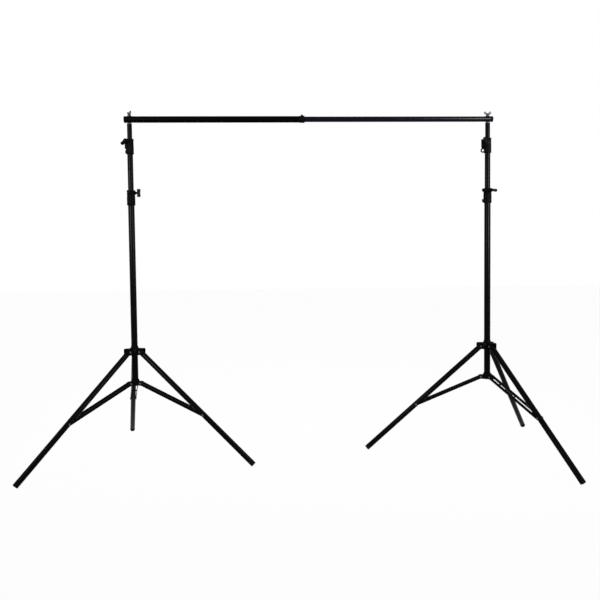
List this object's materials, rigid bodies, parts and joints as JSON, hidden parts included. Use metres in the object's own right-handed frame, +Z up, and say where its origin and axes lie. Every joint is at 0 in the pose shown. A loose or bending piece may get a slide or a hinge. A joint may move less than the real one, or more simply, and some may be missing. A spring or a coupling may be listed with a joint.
{
  "type": "backdrop stand",
  "caption": "Telescoping crossbar carried by folding tripod stands with collar locks, set up to hold a backdrop.",
  "frame": {"origin": "middle of the bounding box, on the floor", "axes": "+X along the crossbar from the thicker outer tube to the thinner inner tube, +Z up"},
  "size_m": [2.8625, 1.2906, 1.8827],
  "materials": {
    "black_anodised_tube": "smooth black coating with a faint blue tint",
    "black_knob_plastic": "black moulded plastic, slightly shiny",
    "black_moulded_plastic": "black moulded plastic",
    "black_powder_coat": "satin black powder coat",
    "black_rubber": "matt black rubber",
    "zinc_plated_steel": "bright zinc plating"
  },
  "bodies": {
    "left_base": {"left_base_tube": "black_powder_coat", "left_brace_collar": "black_moulded_plastic", "left_lower_collar": "black_moulded_plastic"},
    "left_middle": {"left_middle_tube": "black_powder_coat", "left_middle_bush": "black_moulded_plastic", "left_upper_collar": "black_moulded_plastic"},
    "left_top": {"left_top_tube": "black_powder_coat", "left_top_bush": "black_moulded_plastic", "left_stud_plug": "zinc_plated_steel", "left_washer": "zinc_plated_steel"},
    "left_spider": {"left_spider": "black_moulded_plastic"},
    "left_spider_knob": {"left_spider_knob": "black_knob_plastic"},
    "left_lower_knob": {"left_lower_knob": "black_knob_plastic"},
    "left_upper_knob": {"left_upper_knob": "black_knob_plastic"},
    "left_wing_nut": {"left_wing_nut": "zinc_plated_steel"},
    "left_leg_a": {"left_leg_a": "black_powder_coat", "left_leg_tip_a": "black_rubber"},
    "left_brace_a": {"left_brace_a": "black_powder_coat"},
    "left_leg_b": {"left_leg_b": "black_powder_coat", "left_leg_tip_b": "black_rubber"},
    "left_brace_b": {"left_brace_b": "black_powder_coat"},
    "left_leg_c": {"left_leg_c": "black_powder_coat", "left_leg_tip_c": "black_rubber"},
    "left_brace_c": {"left_brace_c": "black_powder_coat"},
    "right_base": {"right_base_tube": "black_powder_coat", "right_brace_collar": "black_moulded_plastic", "right_lower_collar": "black_moulded_plastic"},
    "right_middle": {"right_middle_tube": "black_powder_coat", "right_middle_bush": "black_moulded_plastic", "right_upper_collar": "black_moulded_plastic"},
    "right_top": {"right_top_tube": "black_powder_coat", "right_top_bush": "black_moulded_plastic", "right_stud_plug": "zinc_plated_steel", "right_washer": "zinc_plated_steel"},
    "right_spider": {"right_spider": "black_moulded_plastic"},
    "right_spider_knob": {"right_spider_knob": "black_knob_plastic"},
    "right_lower_knob": {"right_lower_knob": "black_knob_plastic"},
    "right_upper_knob": {"right_upper_knob": "black_knob_plastic"},
    "right_wing_nut": {"right_wing_nut": "zinc_plated_steel"},
    "right_leg_a": {"right_leg_a": "black_powder_coat", "right_leg_tip_a": "black_rubber"},
    "right_brace_a": {"right_brace_a": "black_powder_coat"},
    "right_leg_b": {"right_leg_b": "black_powder_coat", "right_leg_tip_b": "black_rubber"},
    "right_brace_b": {"right_brace_b": "black_powder_coat"},
    "right_leg_c": {"right_leg_c": "black_powder_coat", "right_leg_tip_c": "black_rubber"},
    "right_brace_c": {"right_brace_c": "black_powder_coat"},
    "bar_outer": {"bar_outer": "black_anodised_tube", "bar_cap_left": "black_moulded_plastic", "bar_lock_ring": "black_moulded_plastic"},
    "bar_inner": {"bar_inner": "black_anodised_tube", "bar_bush": "black_moulded_plastic", "bar_cap_right": "black_moulded_plastic"},
    "bar_lock_screw": {"bar_lock_screw": "zinc_plated_steel"}
  },
  "joints": [
    {"name": "left_middle_slide", "type": "slide", "parent": "left_base", "child": "left_middle", "axis": [0, 0, 1], "range_m": [-0.19, 0.5]},
    {"name": "left_top_slide", "type": "slide", "parent": "left_middle", "child": "left_top", "axis": [0, 0, 1], "range_m": [-0.075, 0.55]},
    {"name": "left_bar_swivel", "type": "hinge", "parent": "left_top", "child": "bar_outer", "pos_m": [-0.93326, -0.016, 1.83936], "axis": [0, 0, 1], "continuous": true},
    {"name": "bar_slide", "type": "slide", "parent": "bar_outer", "child": "bar_inner", "axis": [1, 0, 0], "range_m": [-0.55, 0]},
    {"name": "right_bar_swivel", "type": "hinge", "parent": "bar_inner", "child": "right_top", "pos_m": [1.01074, -0.016, 1.83936], "axis": [0, 0, 1], "continuous": true},
    {"name": "right_top_slide", "type": "slide", "parent": "right_top", "child": "right_middle", "axis": [0, 0, -1], "range_m": [-0.075, 0.55]},
    {"name": "right_middle_slide", "type": "slide", "parent": "right_middle", "child": "right_base", "axis": [0, 0, -1], "range_m": [-0.19, 0.5]},
    {"name": "left_spider_slide", "type": "slide", "parent": "left_base", "child": "left_spider", "axis": [0, 0, 1], "range_m": [0, 0.7039]},
    {"name": "left_leg_a_hinge", "type": "hinge", "parent": "left_spider", "child": "left_leg_a", "pos_m": [-0.89875, -0.02623, 0.59054], "axis": [0.284, 0.9588, 0], "range_deg": [0, 44.51]},
    {"name": "left_brace_a_hinge", "type": "hinge", "parent": "left_base", "child": "left_brace_a", "pos_m": [-0.89875, -0.02623, 0.41916], "axis": [-0.284, -0.9588, 0], "range_deg": [0, 109.93]},
    {"name": "left_leg_b_hinge", "type": "hinge", "parent": "left_spider", "child": "left_leg_b", "pos_m": [-0.94167, 0.019, 0.59054], "axis": [-0.9724, -0.2334, 0], "range_deg": [0, 44.51]},
    {"name": "left_brace_b_hinge", "type": "hinge", "parent": "left_base", "child": "left_brace_b", "pos_m": [-0.94167, 0.019, 0.41916], "axis": [0.9724, 0.2334, 0], "range_deg": [0, 109.93]},
    {"name": "left_leg_c_hinge", "type": "hinge", "parent": "left_spider", "child": "left_leg_c", "pos_m": [-0.95938, -0.04078, 0.59054], "axis": [0.6884, -0.7254, 0], "range_deg": [0, 44.51]},
    {"name": "left_brace_c_hinge", "type": "hinge", "parent": "left_base", "child": "left_brace_c", "pos_m": [-0.95938, -0.04078, 0.41916], "axis": [-0.6884, 0.7254, 0], "range_deg": [0, 109.93]},
    {"name": "left_spider_knob_turn", "type": "hinge", "parent": "left_spider", "child": "left_spider_knob", "pos_m": [-0.93326, -0.016, 0.60054], "axis": [0.2334, -0.9724, 0], "continuous": true},
    {"name": "left_lower_knob_turn", "type": "hinge", "parent": "left_base", "child": "left_lower_knob", "pos_m": [-0.93326, -0.016, 1.44876], "axis": [1, 0, 0], "continuous": true},
    {"name": "left_upper_knob_turn", "type": "hinge", "parent": "left_middle", "child": "left_upper_knob", "pos_m": [-0.93326, -0.016, 1.71676], "axis": [-0.6428, -0.766, 0], "continuous": true},
    {"name": "left_wing_nut_turn", "type": "hinge", "parent": "left_top", "child": "left_wing_nut", "pos_m": [-0.93326, -0.016, 1.83936], "axis": [0, 0, 1], "continuous": true},
    {"name": "right_spider_slide", "type": "slide", "parent": "right_base", "child": "right_spider", "axis": [0, 0, 1], "range_m": [0, 0.7039]},
    {"name": "right_leg_a_hinge", "type": "hinge", "parent": "right_spider", "child": "right_leg_a", "pos_m": [1.02451, -0.04926, 0.59054], "axis": [0.9239, 0.3827, 0], "range_deg": [0, 44.51]},
    {"name": "right_brace_a_hinge", "type": "hinge", "parent": "right_base", "child": "right_brace_a", "pos_m": [1.02451, -0.04926, 0.41916], "axis": [-0.9239, -0.3827, 0], "range_deg": [0, 109.93]},
    {"name": "right_leg_b_hinge", "type": "hinge", "parent": "right_spider", "child": "right_leg_b", "pos_m": [1.03265, 0.01256, 0.59054], "axis": [-0.7934, 0.6088, 0], "range_deg": [0, 44.51]},
    {"name": "right_brace_b_hinge", "type": "hinge", "parent": "right_base", "child": "right_brace_b", "pos_m": [1.03265, 0.01256, 0.41916], "axis": [0.7934, -0.6088, 0], "range_deg": [0, 109.93]},
    {"name": "right_leg_c_hinge", "type": "hinge", "parent": "right_spider", "child": "right_leg_c", "pos_m": [0.97505, -0.0113, 0.59054], "axis": [-0.1305, -0.9914, 0], "range_deg": [0, 44.51]},
    {"name": "right_brace_c_hinge", "type": "hinge", "parent": "right_base", "child": "right_brace_c", "pos_m": [0.97505, -0.0113, 0.41916], "axis": [0.1305, 0.9914, 0], "range_deg": [0, 109.93]},
    {"name": "right_spider_knob_turn", "type": "hinge", "parent": "right_spider", "child": "right_spider_knob", "pos_m": [1.01074, -0.016, 0.60054], "axis": [-0.6088, -0.7934, 0], "continuous": true},
    {"name": "right_lower_knob_turn", "type": "hinge", "parent": "right_base", "child": "right_lower_knob", "pos_m": [1.01074, -0.016, 1.44876], "axis": [0.5736, -0.8192, 0], "continuous": true},
    {"name": "right_upper_knob_turn", "type": "hinge", "parent": "right_middle", "child": "right_upper_knob", "pos_m": [1.01074, -0.016, 1.71676], "axis": [-0.4848, -0.8746, 0], "continuous": true},
    {"name": "right_wing_nut_turn", "type": "hinge", "parent": "right_top", "child": "right_wing_nut", "pos_m": [1.01074, -0.016, 1.83936], "axis": [0, 0, 1], "continuous": true},
    {"name": "bar_lock_screw_turn", "type": "hinge", "parent": "bar_outer", "child": "bar_lock_screw", "pos_m": [-0.00826, -0.016, 1.83936], "axis": [0, 0, 1], "continuous": true}
  ],
  "couplings": [
    {"joint": "right_top_slide", "follows": "left_top_slide", "ratio": 1},
    {"joint": "right_middle_slide", "follows": "left_middle_slide", "ratio": 1},
    {"joint": "left_leg_a_hinge", "follows": "left_spider_slide", "rad_per_m": 1.1034},
    {"joint": "left_brace_a_hinge", "follows": "left_spider_slide", "rad_per_m": 2.7254},
    {"joint": "left_leg_b_hinge", "follows": "left_spider_slide", "rad_per_m": 1.1034},
    {"joint": "left_brace_b_hinge", "follows": "left_spider_slide", "rad_per_m": 2.7254},
    {"joint": "left_leg_c_hinge", "follows": "left_spider_slide", "rad_per_m": 1.1034},
    {"joint": "left_brace_c_hinge", "follows": "left_spider_slide", "rad_per_m": 2.7254},
    {"joint": "right_leg_a_hinge", "follows": "right_spider_slide", "rad_per_m": 1.1034},
    {"joint": "right_brace_a_hinge", "follows": "right_spider_slide", "rad_per_m": 2.7254},
    {"joint": "right_leg_b_hinge", "follows": "right_spider_slide", "rad_per_m": 1.1034},
    {"joint": "right_brace_b_hinge", "follows": "right_spider_slide", "rad_per_m": 2.7254},
    {"joint": "right_leg_c_hinge", "follows": "right_spider_slide", "rad_per_m": 1.1034},
    {"joint": "right_brace_c_hinge", "follows": "right_spider_slide", "rad_per_m": 2.7254}
  ]
}
